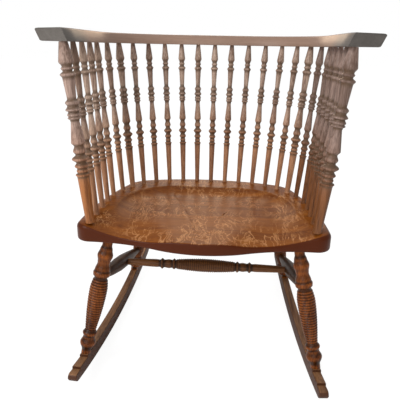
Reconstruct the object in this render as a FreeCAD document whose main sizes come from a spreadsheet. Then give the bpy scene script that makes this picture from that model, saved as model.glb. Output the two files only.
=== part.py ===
import FreeCAD, Part
import Sketcher
import math
import os

V = FreeCAD.Vector
doc = FreeCAD.newDocument("rocking_chair")

# Driving dimensions in millimetres and degrees.
# The seat frame has its origin on the seat deck between the feet of the two arm posts,
# with +Y towards the back. It leans back by seat_tilt as the chair rests on the floor.
# Shares run from 0 to 1 along the visible length of a turned piece.
SIZES = {
    # place of the seat frame over the floor
    "seat_tilt": 5.0,
    "seat_rise": 392.0,
    "seat_forward": 197.0,
    # seat board
    "seat_thick": 41.0,
    "seat_half_width": 282.0,
    "seat_back_line": 391.0,
    "seat_side_arc": 900.0,
    "seat_widest": 20.0,
    "seat_back_arc": 570.0,
    "seat_front_corner": 30.0,
    "seat_rear_corner": 34.0,
    "front_line": 20.0,
    "front_bow": 64.0,
    "front_bow_arc": 275.0,
    "front_hollow_arc": 385.0,
    "seat_top_round": 12.0,
    "seat_bottom_round": 6.0,
    # hollow carved in the seat
    "hollow_margin": 62.0,
    "hollow_back_margin": 87.0,
    "hollow_corner": 150.0,
    "hollow_depth": 15.0,
    "hollow_wall": 70.0,
    "thigh_across": 150.0,
    "thigh_drop": 14.0,
    "thigh_start": 65.0,
    "thigh_front": 45.0,
    "thigh_round": 260.0,
    # row of spindle feet and row of spindle tops
    "foot_margin": 33.0,
    "foot_back_margin": 22.0,
    "foot_corner": 207.0,
    "foot_front_line": 0.0,
    "top_spread": 30.0,
    "top_back_spread": 37.0,
    "top_corner": 198.0,
    "top_front_line": -7.0,
    # arm rail
    "rail_height": 380.0,
    "rail_thick": 25.0,
    "rail_width": 48.0,
    "rail_lean": 11.0,
    "rail_edge_round": 4.0,
    "rail_front_line": 31.0,
    "outer_end_line": 12.0,
    "outer_flare_start": 85.0,
    "outer_flare_arc": 104.0,
    "inner_flare_start": 10.0,
    "inner_flare_arc": 123.0,
    # spindle turning: radii
    "foot_girth": 6.2,
    "swell_girth": 8.2,
    "collar_girth": 9.8,
    "waist_girth": 6.6,
    "ball_girth": 11.5,
    "vase_girth": 9.2,
    "throat_girth": 5.7,
    "band_girth": 9.0,
    "taper_girth": 7.8,
    "cap_girth": 10.2,
    "bud_girth": 9.5,
    "tip_girth": 5.3,
    # spindle turning: shares
    "at_start": 0.0,
    "swell_at": 0.280,
    "collar_at": 0.305,
    "waist_at": 0.345,
    "ball_at": 0.382,
    "ball_end": 0.420,
    "vase_at": 0.468,
    "throat_at": 0.585,
    "band_at": 0.605,
    "band_end": 0.692,
    "taper_at": 0.822,
    "cap_at": 0.845,
    "bud_foot": 0.874,
    "bud_at": 0.900,
    "at_end": 1.0,
    # thickness of the stouter sticks against the slender ones
    "slender": 1.0,
    "back_post_girth": 1.18,
    "arm_post_girth": 1.62,
    # share of the row from the middle of the back to the first side spindle
    "close_share": 0.5385,
    # depth of the sticks in their sockets, and the room round them
    "foot_tenon": 19.0,
    "top_tenon": 15.0,
    "socket_room": 0.15,
    "socket_end_room": 0.6,
    # stance of the legs: under the seat, and along the rocker from its lowest point
    "front_leg_margin": 65.0,
    "front_leg_back": 38.0,
    "rear_leg_margin": 107.0,
    "rear_leg_back_margin": 74.0,
    "front_leg_station": 233.0,
    "rear_leg_station": 171.0,
    # leg turning: radii
    "leg_foot_girth": 11.0,
    "leg_vase_girth": 18.5,
    "leg_waist_girth": 13.0,
    "leg_ball_girth": 16.5,
    "leg_reed_low": 13.0,
    "leg_reed_full": 21.0,
    "leg_reed_high": 16.5,
    "leg_reed_groove": 1.6,
    "leg_neck_girth": 14.5,
    "leg_ring_girth": 19.5,
    "leg_bulb_girth": 17.5,
    "leg_top_girth": 11.0,
    # leg turning: shares
    "leg_foot_at": 0.02,
    "leg_vase_at": 0.095,
    "leg_waist_at": 0.147,
    "leg_ball_at": 0.180,
    "leg_reed_from": 0.212,
    "leg_reed_full_at": 0.540,
    "leg_reed_to": 0.615,
    "leg_neck_at": 0.640,
    "leg_ring_at": 0.683,
    "leg_cove_at": 0.755,
    "leg_bulb_at": 0.825,
    "leg_top_at": 0.895,
    # leg tenons, and the flat notch in the rocker under a leg's foot
    "leg_foot_tenon_girth": 5.5,
    "leg_foot_tenon": 16.0,
    "leg_top_tenon": 19.0,
    "leg_sink": 2.2,
    "notch_girth": 13.0,
    "notch_reach": 12.0,
    # side stretchers, each from a front leg to a rear leg
    "side_joint_front": 0.640,
    "side_joint_rear": 0.300,
    "side_inset": 3.0,
    "side_reach": 26.0,
    "side_end_girth": 8.5,
    "side_end_at": 0.07,
    "side_full_girth": 17.0,
    "side_full_from": 0.38,
    "side_full_to": 0.52,
    "side_end_from": 0.93,
    # cross stretcher, between the side stretchers
    "cross_share": 0.5,
    "cross_inset": 3.0,
    "cross_reach": 30.0,
    "cross_end_girth": 8.5,
    "cross_ring_girth": 13.5,
    "cross_ring_width": 0.018,
    "cross_ring_outer": 0.25,
    "cross_ring_inner": 0.32,
    "cross_reed_from": 0.335,
    "cross_reed_low": 12.5,
    "cross_reed_full": 16.0,
    "cross_reed_groove": 1.3,
    # rockers
    "rocker_radius": 1420.0,
    "rocker_height": 34.0,
    "rocker_thick": 21.0,
    "rocker_front": 317.0,
    "rocker_tail": 317.0,
    "rocker_toe_in": 5.0,
    "rocker_spread": 40.5,
    "step_one": 247.0,
    "step_two": 290.0,
    "step_drop": 6.0,
    "nose_round": 11.0,
    "tail_round": 15.0,
}
# Places that keep their distance from the edge of the seat when the seat is resized.
TIED = {
    "hollow_half_width": "=seat_half_width - hollow_margin",
    "hollow_back_line": "=seat_back_line - hollow_back_margin",
    "foot_half_width": "=seat_half_width - foot_margin",
    "foot_back_line": "=seat_back_line - foot_back_margin",
    "top_half_width": "=foot_half_width + top_spread",
    "top_back_line": "=foot_back_line + top_back_spread",
    "front_leg_across": "=seat_half_width - front_leg_margin",
    "rear_leg_across": "=seat_half_width - rear_leg_margin",
    "rear_leg_back": "=seat_back_line - rear_leg_back_margin",
    "rocker_middle": "=front_leg_across + rocker_spread",
}
LEG_REEDS = 10
CROSS_REEDS = 9
BACK_SPINDLES = 5
SIDE_SPINDLES = 5
HANDS = {"left": -1, "right": 1}

sheet = doc.addObject("Spreadsheet::Sheet", "Sizes")


def enter(alias, value):
    """Write one named size, a number or a formula, into the next row of the sheet."""
    enter.row += 1
    sheet.set(f"A{enter.row}", alias)
    sheet.set(f"B{enter.row}", str(value))
    sheet.setAlias(f"B{enter.row}", alias)


enter.row = 0
for alias, value in (SIZES | TIED).items():
    enter(alias, value)
doc.recompute()


def size(alias):
    return float(sheet.get(alias))


# A sum of products of named sizes, as a number and as the expression that binds a sketch.
def amount(terms):
    return sum(math.prod(size(alias) for alias in term) for term in terms)


def expression(terms):
    return " + ".join(" * ".join(f"Sizes.{alias}" for alias in term) for term in terms)


contact_shift = (size("rocker_front") - size("rocker_tail")) / 2
seat_frame = FreeCAD.Placement(
    V(0, contact_shift - size("seat_forward"), size("seat_rise")),
    FreeCAD.Rotation(V(1, 0, 0), -size("seat_tilt")),
)
pieces = []


def keep(feature, label):
    feature.Label = label
    pieces.append(feature)
    return feature


def plane_of(body, role):
    return next(item for item in body.Origin.OriginFeatures if item.Role == role)


def upright(start, end):
    """Rotation that turns +Z to the line from start to end."""
    return FreeCAD.Rotation(V(0, 0, 1), end - start)


def turned(label, start, end, length, steps, tenons=None, girth="slender"):
    """A turned piece on the line from start to end.

    steps are (radius, share) pairs of names. tenons are the (radius, depth) names of the
    round tenons past the start and past the end.
    """
    base = ()
    outline = []
    if tenons:
        (foot_radius, foot_depth), (top_radius, top_depth) = tenons
        base = ((foot_depth,),)
        outline.append((((foot_radius, girth),), ()))
        outline.append((((foot_radius, girth),), base))
    for radius, share in steps:
        outline.append((((radius, girth),), base + ((length, share),)))
    if tenons:
        past = base + ((length,), (top_depth,))
        outline.append((((top_radius, girth),), past))
    outline.insert(0, ((), outline[0][1]))
    outline.append(((), outline[-1][1]))
    points = []
    kept = []
    for radius, station in outline:
        point = V(amount(radius), amount(station), 0)
        if not points or (point - points[-1]).Length > 1e-6:
            points.append(point)
            kept.append((radius, station))
    body = doc.addObject("PartDesign::Body", label + "_body")
    sketch = body.newObject("Sketcher::SketchObject", label + "_outline")
    sketch.AttachmentSupport = [(plane_of(body, "XZ_Plane"), "")]
    sketch.MapMode = "FlatFace"
    count = len(points)
    for index in range(count):
        line = Part.LineSegment(points[index], points[(index + 1) % count])
        sketch.addGeometry(line, False)
    rules = []
    bound = []
    for index, (radius, station) in enumerate(kept):
        rules.append(Sketcher.Constraint("Coincident", index, 2, (index + 1) % count, 1))
        for terms, kind, axis in ((radius, "DistanceX", -2), (station, "DistanceY", -1)):
            if amount(terms) > 0:
                bound.append((len(rules), terms))
                rules.append(Sketcher.Constraint(kind, -1, 1, index, 1, amount(terms)))
            else:
                rules.append(Sketcher.Constraint("PointOnObject", index, 1, axis))
    sketch.addConstraint(rules)
    for index, terms in bound:
        sketch.setExpression(f"Constraints[{index}]", expression(terms))
    turning = body.newObject("PartDesign::Revolution", label + "_turning")
    turning.Profile = sketch
    turning.ReferenceAxis = (sketch, ["V_Axis"])
    turning.Angle = 360
    body.Tip = turning
    axis = (end - start).normalize()
    body.Placement = FreeCAD.Placement(start - axis * amount(base), upright(start, end))
    body.Label = label
    return body


def socket(label, end, outward, radius, reach):
    """A drill round the tenon that ends at end; it runs outward by reach."""
    cutter = doc.addObject("Part::Cylinder", label)
    cutter.setExpression("Radius", expression(radius + (("socket_room",),)))
    cutter.setExpression("Height", expression(reach + (("socket_end_room",),)))
    bottom = end - outward * size("socket_end_room")
    cutter.Placement = FreeCAD.Placement(bottom, FreeCAD.Rotation(V(0, 0, 1), outward))
    return cutter


def bored(base, cutters, label):
    """The base piece with all its cuts made."""
    cut = doc.addObject("Part::Cut", label + "_bored")
    cut.Base = base
    cut.Tool = cutters[0]
    if len(cutters) > 1:
        cut.Tool = doc.addObject("Part::MultiFuse", label + "_cuts")
        cut.Tool.Shapes = cutters
    base.Label = label + "_blank"
    return keep(cut, label)


# The rows of spindle feet and tops: a U with a flat back, quarter-round corners and
# straight sides. A share runs along it from the middle of the back to an arm post.
def row_point(row, share, height, hand):
    half_width = size(f"{row}_half_width")
    back_line = size(f"{row}_back_line")
    corner = size(f"{row}_corner")
    flat = half_width - corner
    bend = corner * math.pi / 2
    side = back_line - corner - size(f"{row}_front_line")
    run = share * (flat + bend + side)
    if run <= flat:
        across = run
        back = back_line
    elif run <= flat + bend:
        turn = (run - flat) / corner
        across = flat + corner * math.sin(turn)
        back = back_line - corner * (1 - math.cos(turn))
    else:
        across = half_width
        back = back_line - corner - (run - flat - bend)
    return seat_frame.multVec(V(hand * across, back, height))


STICKS = BACK_SPINDLES + SIDE_SPINDLES + 2
CLOSE_STEPS = BACK_SPINDLES + 2


# Sticks stand at even steps round the back, and at wider even steps along the sides.
def row_share(order):
    close = size("close_share")
    if order <= CLOSE_STEPS:
        return close * order / CLOSE_STEPS
    return close + (1 - close) * (order - CLOSE_STEPS) / (STICKS - CLOSE_STEPS)


SPINDLE_STEPS = [
    ("foot_girth", "at_start"),
    ("swell_girth", "swell_at"),
    ("collar_girth", "swell_at"),
    ("collar_girth", "collar_at"),
    ("waist_girth", "collar_at"),
    ("waist_girth", "waist_at"),
    ("ball_girth", "ball_at"),
    ("waist_girth", "ball_end"),
    ("waist_girth", "vase_at"),
    ("vase_girth", "vase_at"),
    ("throat_girth", "throat_at"),
    ("throat_girth", "band_at"),
    ("band_girth", "band_at"),
    ("band_girth", "band_end"),
    ("throat_girth", "band_end"),
    ("taper_girth", "taper_at"),
    ("cap_girth", "taper_at"),
    ("cap_girth", "cap_at"),
    ("waist_girth", "cap_at"),
    ("waist_girth", "bud_foot"),
    ("bud_girth", "bud_at"),
    ("tip_girth", "at_end"),
]
for order in range(STICKS + 1):
    share = row_share(order)
    height = size("rail_height")
    span = row_point("top", share, height, 1) - row_point("foot", share, 0, 1)
    enter(f"stick_length_{order}", span.Length)
doc.recompute()
seat_drills = []
rail_drills = []


# Every stick of the barrel back is turned to one pattern: a long foot that swells to a
# collar, a ball on its waist, a vase, a band, a second swell with a cap, and a bud.
def stick(label, order, hand, girth):
    share = row_share(order)
    foot = row_point("foot", share, 0, hand)
    top = row_point("top", share, size("rail_height"), hand)
    axis = (top - foot).normalize()
    tenons = (("foot_girth", "foot_tenon"), ("tip_girth", "top_tenon"))
    body = turned(label, foot, top, f"stick_length_{order}", SPINDLE_STEPS, tenons, girth)
    keep(body, label)
    foot_end = foot - axis * size("foot_tenon")
    foot_reach = (("foot_tenon",), ("foot_tenon",))
    seat_drills.append(
        socket(label + "_foot_drill", foot_end, axis, (("foot_girth", girth),), foot_reach)
    )
    top_end = top + axis * size("top_tenon")
    top_reach = (("top_tenon",), ("top_tenon",))
    rail_drills.append(
        socket(label + "_top_drill", top_end, -axis, (("tip_girth", girth),), top_reach)
    )


stick("centre_spindle", 0, 1, "slender")
for side, hand in HANDS.items():
    for order in range(1, BACK_SPINDLES + 1):
        stick(f"back_spindle_{side}_{order}", order, hand, "slender")
    stick(f"back_post_{side}", BACK_SPINDLES + 1, hand, "back_post_girth")
    for order in range(1, SIDE_SPINDLES + 1):
        in_row = BACK_SPINDLES + 1 + order
        stick(f"side_spindle_{side}_{order}", in_row, hand, "slender")
    stick(f"arm_post_{side}", STICKS, hand, "arm_post_girth")


# Rocker edges: two concentric arcs, so the board has an even height all along.
def under_edge(station):
    radius = size("rocker_radius")
    return radius - math.sqrt(radius**2 - station**2)


def top_edge(station, drop=0.0):
    radius = size("rocker_radius")
    inner = radius - size("rocker_height") + drop
    return radius - math.sqrt(inner**2 - station**2)


def rocker_place(hand):
    toe_in = FreeCAD.Rotation(V(0, 0, 1), hand * size("rocker_toe_in"))
    return FreeCAD.Placement(V(hand * size("rocker_middle"), contact_shift, 0), toe_in)


# Legs run from the rocker's top edge to the underside of the seat.
def leg_ends(which, hand):
    station = size(f"{which}_leg_station")
    if which == "front":
        station = -station
    foot = rocker_place(hand).multVec(V(0, station, top_edge(station)))
    across = hand * size(f"{which}_leg_across")
    back = size(f"{which}_leg_back")
    head = seat_frame.multVec(V(across, back, -size("seat_thick")))
    foot = foot - (head - foot).normalize() * size("leg_sink")
    return foot, head


def between(first, second, share):
    return first + (second - first) * share


def side_line(hand):
    """The two points where a side stretcher's axis meets the axes of its legs."""
    front = between(*leg_ends("front", hand), size("side_joint_front"))
    rear = between(*leg_ends("rear", hand), size("side_joint_rear"))
    return front, rear


def shortened(start, end, inset):
    axis = (end - start).normalize()
    return start + axis * inset, end - axis * inset


side_start, side_end = shortened(*side_line(1), size("side_inset"))
cross_middle = between(*side_line(1), size("cross_share"))
for which in ("front", "rear"):
    foot, head = leg_ends(which, 1)
    enter(f"{which}_leg_length", (head - foot).Length)
enter("side_length", (side_end - side_start).Length)
enter("cross_length", 2 * (cross_middle.x - size("cross_inset")))
for ring in ("outer", "inner"):
    share = size(f"cross_ring_{ring}")
    width = size("cross_ring_width")
    enter(f"cross_{ring}_from", share - width)
    enter(f"cross_{ring}_to", share)
    enter(f"cross_{ring}_far_from", 1 - share)
    enter(f"cross_{ring}_far_to", 1 - share + width)
doc.recompute()


def reeding(prefix, count, first, full, last, low, top, high, groove):
    """Rounded reeds parted by grooves, on a barrel that is thickest at one station."""
    steps = []
    for index in range(2 * count + 1):
        share = first + (last - first) * index / (2 * count)
        if share <= full:
            swell = math.sin((share - first) / (full - first) * math.pi / 2)
            girth = low + swell * (top - low)
        else:
            swell = math.cos((share - full) / (last - full) * math.pi / 2)
            girth = high + swell * (top - high)
        if index % 2 == 0:
            girth -= groove
        enter(f"{prefix}_{index}_at", share)
        enter(f"{prefix}_{index}_girth", girth)
        steps.append((f"{prefix}_{index}_girth", f"{prefix}_{index}_at"))
    return steps


LEG_STEPS = [
    ("leg_foot_girth", "at_start"),
    ("leg_foot_girth", "leg_foot_at"),
    ("leg_vase_girth", "leg_vase_at"),
    ("leg_waist_girth", "leg_waist_at"),
    ("leg_ball_girth", "leg_ball_at"),
]
LEG_STEPS += reeding(
    "leg_reed",
    LEG_REEDS,
    size("leg_reed_from"),
    size("leg_reed_full_at"),
    size("leg_reed_to"),
    size("leg_reed_low"),
    size("leg_reed_full"),
    size("leg_reed_high"),
    size("leg_reed_groove"),
)
LEG_STEPS += [
    ("leg_neck_girth", "leg_neck_at"),
    ("leg_ring_girth", "leg_ring_at"),
    ("leg_neck_girth", "leg_cove_at"),
    ("leg_bulb_girth", "leg_bulb_at"),
    ("leg_top_girth", "leg_top_at"),
    ("leg_top_girth", "at_end"),
]
CROSS_STEPS = [
    ("cross_end_girth", "at_start"),
    ("cross_end_girth", "cross_outer_from"),
    ("cross_ring_girth", "cross_outer_from"),
    ("cross_ring_girth", "cross_outer_to"),
    ("cross_end_girth", "cross_outer_to"),
    ("cross_end_girth", "cross_inner_from"),
    ("cross_ring_girth", "cross_inner_from"),
    ("cross_ring_girth", "cross_inner_to"),
]
CROSS_STEPS += reeding(
    "cross_reed",
    CROSS_REEDS,
    size("cross_reed_from"),
    0.5,
    1 - size("cross_reed_from"),
    size("cross_reed_low"),
    size("cross_reed_full"),
    size("cross_reed_low"),
    size("cross_reed_groove"),
)
CROSS_STEPS += [
    ("cross_ring_girth", "cross_inner_far_from"),
    ("cross_ring_girth", "cross_inner_far_to"),
    ("cross_end_girth", "cross_inner_far_to"),
    ("cross_end_girth", "cross_outer_far_from"),
    ("cross_ring_girth", "cross_outer_far_from"),
    ("cross_ring_girth", "cross_outer_far_to"),
    ("cross_end_girth", "cross_outer_far_to"),
    ("cross_end_girth", "at_end"),
]
SIDE_STEPS = [
    ("side_end_girth", "at_start"),
    ("side_end_girth", "side_end_at"),
    ("side_full_girth", "side_full_from"),
    ("side_full_girth", "side_full_to"),
    ("side_end_girth", "side_end_from"),
    ("side_end_girth", "at_end"),
]
doc.recompute()


# A side stretcher is a plain spindle, thickest near its middle, let into both legs.
# A leg is turned from the rocker up: foot, vase, waist, ball, a reeded barrel, a neck, a
# ring, a cove and a bulb. It is bored for the end of the side stretcher.
LEG_TENONS = (
    ("leg_foot_tenon_girth", "leg_foot_tenon"),
    ("leg_top_girth", "leg_top_tenon"),
)
rocker_cuts = {"left": [], "right": []}
for side, hand in HANDS.items():
    front_joint, rear_joint = side_line(hand)
    side_ends = shortened(front_joint, rear_joint, size("side_inset"))
    along_side = (rear_joint - front_joint).normalize()
    stretcher = f"side_stretcher_{side}"
    blank = turned(stretcher, *side_ends, "side_length", SIDE_STEPS)
    cross_end = between(*side_line(hand), size("cross_share"))
    cross_end.x -= hand * size("cross_inset")
    cross_drill = socket(
        stretcher + "_drill",
        cross_end,
        V(-hand, 0, 0),
        (("cross_end_girth",),),
        (("cross_reach",),),
    )
    bored(blank, [cross_drill], stretcher)
    for which in ("front", "rear"):
        label = f"{which}_leg_{side}"
        foot, head = leg_ends(which, hand)
        axis = (head - foot).normalize()
        blank = turned(label, foot, head, f"{which}_leg_length", LEG_STEPS, LEG_TENONS)
        if which == "front":
            inner_end = side_ends[0]
            outward = along_side
        else:
            inner_end = side_ends[1]
            outward = -along_side
        side_drill = socket(
            label + "_side_drill",
            inner_end,
            outward,
            (("side_end_girth",),),
            (("side_reach",),),
        )
        bored(blank, [side_drill], label)
        top_end = head + axis * size("leg_top_tenon")
        seat_drills.append(
            socket(
                label + "_seat_drill",
                top_end,
                -axis,
                (("leg_top_girth",),),
                (("leg_top_tenon",), ("leg_top_tenon",)),
            )
        )
        foot_end = foot - axis * size("leg_foot_tenon")
        rocker_cuts[side].append(
            socket(
                label + "_rocker_drill",
                foot_end,
                axis,
                (("leg_foot_tenon_girth",),),
                (("leg_foot_tenon",), ("leg_sink",)),
            )
        )
        notch = doc.addObject("Part::Cylinder", label + "_notch")
        notch.setExpression("Radius", "Sizes.notch_girth")
        notch.setExpression("Height", "Sizes.notch_reach")
        notch.Placement = FreeCAD.Placement(foot, upright(foot, head))
        rocker_cuts[side].append(notch)

# The cross stretcher has tapered ends, two rings each side and a reeded swelling.
left_end = between(*side_line(-1), size("cross_share"))
right_end = between(*side_line(1), size("cross_share"))
left_end, right_end = shortened(left_end, right_end, size("cross_inset"))
cross = turned("cross_stretcher", left_end, right_end, "cross_length", CROSS_STEPS)
keep(cross, "cross_stretcher")


def drawn(sketch, edges):
    """Put a closed run of edges in a sketch, joined end to start."""
    for edge in edges:
        sketch.addGeometry(edge, False)


# Rockers: boards between two concentric arcs, with two ledges stepped down to the nose.
def rocker(side, hand):
    body = doc.addObject("PartDesign::Body", f"rocker_{side}_body")
    sketch = body.newObject("Sketcher::SketchObject", f"rocker_{side}_outline")
    sketch.AttachmentSupport = [(plane_of(body, "YZ_Plane"), "")]
    sketch.MapMode = "FlatFace"
    drop = size("step_drop")
    nose_back = size("nose_round") - size("rocker_front")
    tail_back = size("rocker_tail") - size("tail_round")
    one = -size("step_one")
    two = -size("step_two")
    under_nose = V(nose_back, under_edge(nose_back), 0)
    under_tail = V(tail_back, under_edge(tail_back), 0)
    top_tail = V(tail_back, top_edge(tail_back), 0)
    top_one = V(one, top_edge(one), 0)
    low_one = V(one, top_edge(one, drop), 0)
    top_two = V(two, top_edge(two, drop), 0)
    low_two = V(two, top_edge(two, 2 * drop), 0)
    top_nose = V(nose_back, top_edge(nose_back, 2 * drop), 0)
    nose_tip = V(-size("rocker_front"), (under_nose.y + top_nose.y) / 2, 0)
    tail_tip = V(size("rocker_tail"), (under_tail.y + top_tail.y) / 2, 0)
    crown = V(0, size("rocker_height"), 0)
    ledge = (two + one) / 2
    drawn(
        sketch,
        [
            Part.Arc(under_nose, V(0, 0, 0), under_tail),
            Part.Arc(under_tail, tail_tip, top_tail),
            Part.Arc(top_tail, crown, top_one),
            Part.LineSegment(top_one, low_one),
            Part.Arc(low_one, V(ledge, top_edge(ledge, drop), 0), top_two),
            Part.LineSegment(top_two, low_two),
            Part.LineSegment(low_two, top_nose),
            Part.Arc(top_nose, nose_tip, under_nose),
        ],
    )
    board = body.newObject("PartDesign::Pad", f"rocker_{side}_board")
    board.Profile = sketch
    board.Midplane = True
    board.setExpression("Length", "Sizes.rocker_thick")
    body.Tip = board
    body.Placement = rocker_place(hand)
    return body


for side, hand in HANDS.items():
    bored(rocker(side, hand), rocker_cuts[side], f"rocker_{side}")


# Seat outline: bowed sides and back, and a front edge that swells forward in the middle.
def seat_outline():
    half = size("seat_half_width")
    side_arc = size("seat_side_arc")
    widest = size("seat_widest")
    back_arc = size("seat_back_arc")
    back = size("seat_back_line")
    front = -size("front_line")
    bow_arc = size("front_bow_arc")
    hollow_arc = size("front_hollow_arc")

    def side_at(station):
        return half - side_arc + math.sqrt(side_arc**2 - (station - widest) ** 2)

    def back_at(across):
        return back - back_arc + math.sqrt(back_arc**2 - across**2)

    rear = back
    for _ in range(60):
        rear = back_at(side_at(rear))
    turn = math.acos(1 - (size("front_bow") - size("front_line")) / (bow_arc + hollow_arc))
    bow_end = bow_arc * math.sin(turn)
    hollow_end = bow_end + hollow_arc * math.sin(turn)
    bow_y = -size("front_bow") + bow_arc * (1 - math.cos(turn))
    half_turn = hollow_arc * math.sin(turn / 2)
    half_y = front - hollow_arc * (1 - math.cos(turn / 2))
    corner = V(side_at(rear), rear, 0)
    front_corner = V(side_at(front), front, 0)
    hollow_start = V(hollow_end, front, 0)
    bow_start = V(bow_end, bow_y, 0)

    def mirrored(point):
        return V(-point.x, point.y, 0)

    return [
        Part.Arc(corner, V(0, back, 0), mirrored(corner)),
        Part.Arc(mirrored(corner), V(-half, widest, 0), mirrored(front_corner)),
        Part.LineSegment(mirrored(front_corner), mirrored(hollow_start)),
        Part.Arc(
            mirrored(hollow_start),
            V(half_turn - hollow_end, half_y, 0),
            mirrored(bow_start),
        ),
        Part.Arc(mirrored(bow_start), V(0, -size("front_bow"), 0), bow_start),
        Part.Arc(bow_start, V(hollow_end - half_turn, half_y, 0), hollow_start),
        Part.LineSegment(hollow_start, front_corner),
        Part.Arc(front_corner, V(half, widest, 0), corner),
    ]


def edge_names(shape, wanted):
    return [f"Edge{number}" for number, edge in enumerate(shape.Edges, 1) if wanted(edge)]


def is_upright(edge):
    return abs(edge.tangentAt(edge.FirstParameter).z) > 0.99


seat_body = doc.addObject("PartDesign::Body", "seat_body")
seat_sketch = seat_body.newObject("Sketcher::SketchObject", "seat_outline")
seat_sketch.AttachmentSupport = [(plane_of(seat_body, "XY_Plane"), "")]
seat_sketch.MapMode = "FlatFace"
drawn(seat_sketch, seat_outline())
board = seat_body.newObject("PartDesign::Pad", "seat_board")
board.Profile = seat_sketch
board.Reversed = True
board.setExpression("Length", "Sizes.seat_thick")
doc.recompute()


# Only the corners where straight sides meet are rounded; the bowed front stays as drawn.
def at_front_corner(edge):
    middle = edge.CenterOfMass
    return is_upright(edge) and middle.y < 0 and abs(middle.x) > size("foot_half_width")


def at_rear_corner(edge):
    return is_upright(edge) and edge.CenterOfMass.y > size("foot_corner")


def rounded(name, base, wanted, radius):
    round_over = seat_body.newObject("PartDesign::Fillet", name)
    round_over.Base = (base, edge_names(base.Shape, wanted))
    round_over.setExpression("Radius", f"Sizes.{radius}")
    doc.recompute()
    return round_over


front_round = rounded("seat_front_corners", board, at_front_corner, "seat_front_corner")
rear_round = rounded("seat_rear_corners", front_round, at_rear_corner, "seat_rear_corner")


def on_top(edge):
    return not is_upright(edge) and edge.BoundBox.ZMin > -size("seat_thick") / 2


def on_bottom(edge):
    return not is_upright(edge) and edge.BoundBox.ZMax < -size("seat_thick") / 2


top_round = rounded("seat_top_edges", rear_round, on_top, "seat_top_round")
bottom_round = rounded("seat_bottom_edges", top_round, on_bottom, "seat_bottom_round")
seat_body.Tip = bottom_round
seat_body.Placement = seat_frame


# The hollow is a dish with sloping walls, open to the front. Its levels are U outlines.
def hollow_level(index, inset, height):
    half = size("hollow_half_width") - inset
    back = size("hollow_back_line") - inset
    corner = size("hollow_corner") - inset
    open_end = -2 * size("front_bow")
    bend = corner * (1 - math.sqrt(0.5))
    right_front = V(half, open_end, 0)
    right_side = V(half, back - corner, 0)
    right_back = V(half - corner, back, 0)
    left_back = V(corner - half, back, 0)
    left_side = V(-half, back - corner, 0)
    left_front = V(-half, open_end, 0)
    sketch = doc.addObject("Sketcher::SketchObject", f"hollow_level_{index}")
    drawn(
        sketch,
        [
            Part.LineSegment(right_front, right_side),
            Part.Arc(right_side, V(half - bend, back - bend, 0), right_back),
            Part.LineSegment(right_back, left_back),
            Part.Arc(left_back, V(bend - half, back - bend, 0), left_side),
            Part.LineSegment(left_side, left_front),
            Part.LineSegment(left_front, right_front),
        ],
    )
    sketch.Placement = FreeCAD.Placement(V(0, 0, height), FreeCAD.Rotation())
    return sketch


HOLLOW_SHARES = (0.0, 0.3, 0.62, 1.0)
levels = [hollow_level(0, 0.0, size("seat_thick"))]
for index, share in enumerate(HOLLOW_SHARES, 1):
    depth = size("hollow_depth") * (1 - (1 - share) ** 3)
    levels.append(hollow_level(index, share * size("hollow_wall"), -depth))
hollow = doc.addObject("Part::Loft", "seat_hollow")
hollow.Sections = levels
hollow.Solid = True
hollow.Ruled = True
doc.recompute()
hollow.Placement = seat_frame

# Two scoops for the thighs roll the floor of the hollow down to the front edge.
slope = math.atan2(size("thigh_drop"), size("thigh_start") + size("thigh_front"))
downhill = V(0, -math.cos(slope), -math.sin(slope))
lifted = V(0, -math.sin(slope), math.cos(slope))
run_up = size("thigh_start")
scoops = []
for side, hand in HANDS.items():
    start = V(hand * size("thigh_across"), size("thigh_start"), -size("hollow_depth"))
    start = start - downhill * run_up + lifted * size("thigh_round")
    scoop = doc.addObject("Part::Cylinder", f"thigh_scoop_{side}")
    scoop.setExpression("Radius", "Sizes.thigh_round")
    scoop.setExpression("Height", "4 * Sizes.thigh_start")
    along_scoop = FreeCAD.Rotation(V(0, 0, 1), downhill)
    scoop.Placement = seat_frame * FreeCAD.Placement(start, along_scoop)
    scoops.append(scoop)
bored(seat_body, [hollow] + scoops + seat_drills, "seat")


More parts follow.
